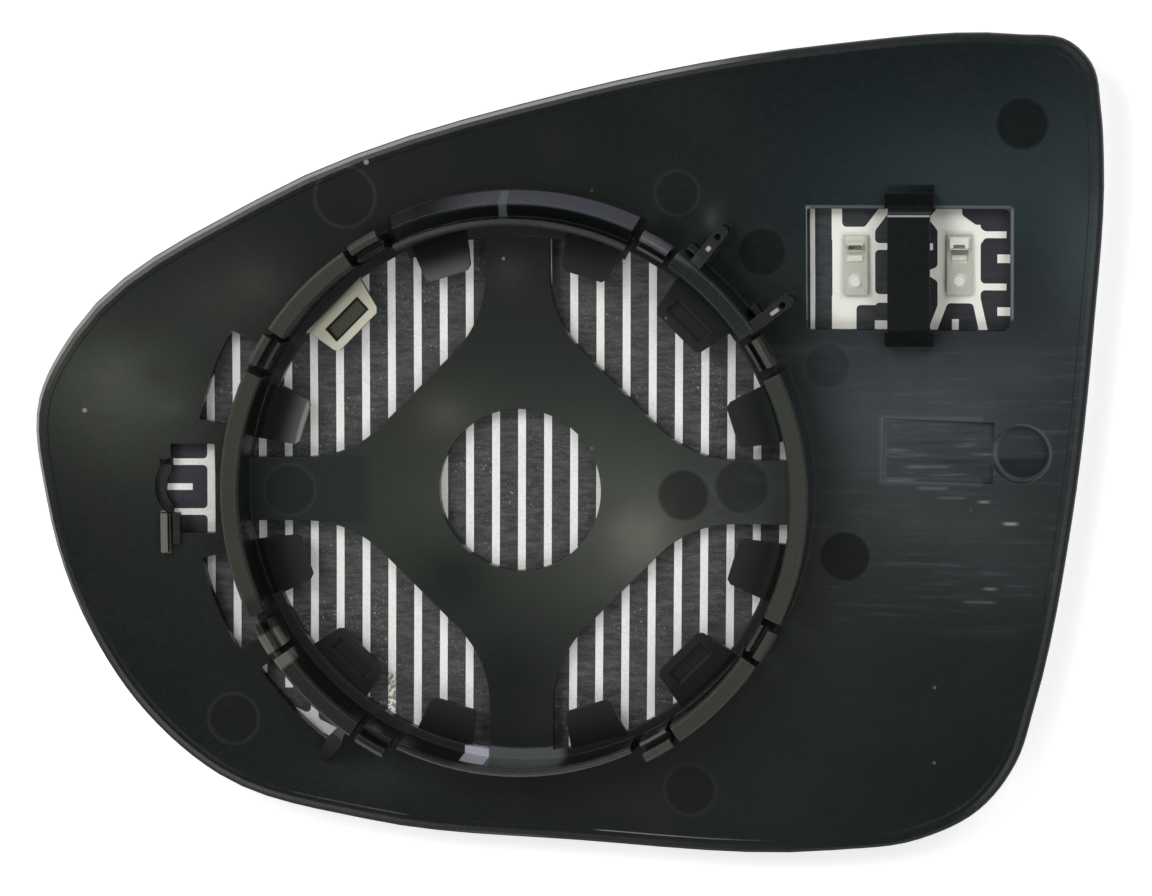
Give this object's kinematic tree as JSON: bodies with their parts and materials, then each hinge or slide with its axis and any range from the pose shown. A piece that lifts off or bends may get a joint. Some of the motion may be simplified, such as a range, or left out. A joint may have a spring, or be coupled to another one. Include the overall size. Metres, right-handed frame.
{
  "type": "car door mirror glass",
  "caption": "Heated convex door mirror glass on a dished black backing plate with a round clip ring, spring tabs, a webbed centre, windows over the printed heater and blade terminals.",
  "frame": {"origin": "on the axis of the clip ring and the web's round hole, level with the upper face of the dished sheet where the dish is lowest", "axes": "+Z out of the back of the plate along the ring's axis, +X towards the wide end of the glass, +Y towards its long top edge"},
  "size_m": [0.1771, 0.1352, 0.0154],
  "materials": {
    "plate_plastic": "satin black with fine moulding marks",
    "mirror_glass": "polished convex mirror with a ground edge",
    "clear_adhesive": "soft clear adhesive",
    "heater_film": "dark grey film with fine wrinkles",
    "silver_print": "matt pale silver print",
    "black_adhesive": "black double-sided adhesive",
    "terminal_metal": "tin-plated, dull",
    "rivet_metal": "dull"
  },
  "bodies": {
    "root": {"mirror_glass": "mirror_glass", "glass_adhesive": "clear_adhesive", "heater_film": "heater_film", "heater_comb_a": "silver_print", "heater_comb_b": "silver_print", "plate_adhesive": "black_adhesive", "backing_plate": "plate_plastic", "terminal_a": "terminal_metal", "terminal_b": "terminal_metal", "terminal_rivets": "rivet_metal"}
  },
  "joints": []
}
